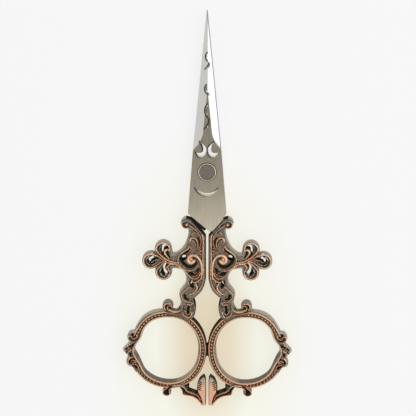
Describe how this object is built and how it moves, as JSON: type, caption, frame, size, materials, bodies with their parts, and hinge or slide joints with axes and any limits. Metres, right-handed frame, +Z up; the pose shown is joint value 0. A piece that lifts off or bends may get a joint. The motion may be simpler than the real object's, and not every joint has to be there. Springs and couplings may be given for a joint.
{
  "type": "embroidery scissors",
  "caption": "Closed embroidery scissors lying flat: pierced dagger-shaped steel blades on a rivet, with ornate cast scrollwork handles and egg-shaped finger loops.",
  "frame": {"origin": "on the pivot axis, in the plane that the handles and the rivet's rear head lie on", "axes": "+Y from the pivot to the blade tips, +Z up out of the front face, +X to the right seen from the front with the tips up"},
  "size_m": [0.0544, 0.1269, 0.0048],
  "materials": {
    "blade_steel": "brushed stainless steel with ground bevels",
    "antique_copper": "antique copper plating on a zinc casting, dark in the recesses and worn bright on the raised lines",
    "rivet_steel": "dull turned steel",
    "bright_steel": "bright turned steel"
  },
  "bodies": {
    "front_half": {"front_blade": "blade_steel", "right_handle": "antique_copper", "pivot_rivet": "rivet_steel", "rivet_ring": "bright_steel"},
    "rear_half": {"rear_blade": "blade_steel", "left_handle": "antique_copper"}
  },
  "joints": [
    {"name": "blade_pivot", "type": "hinge", "parent": "front_half", "child": "rear_half", "pos_m": [0, 0, 0.0024], "axis": [0, 0, -1], "range_deg": [0, 125]}
  ]
}
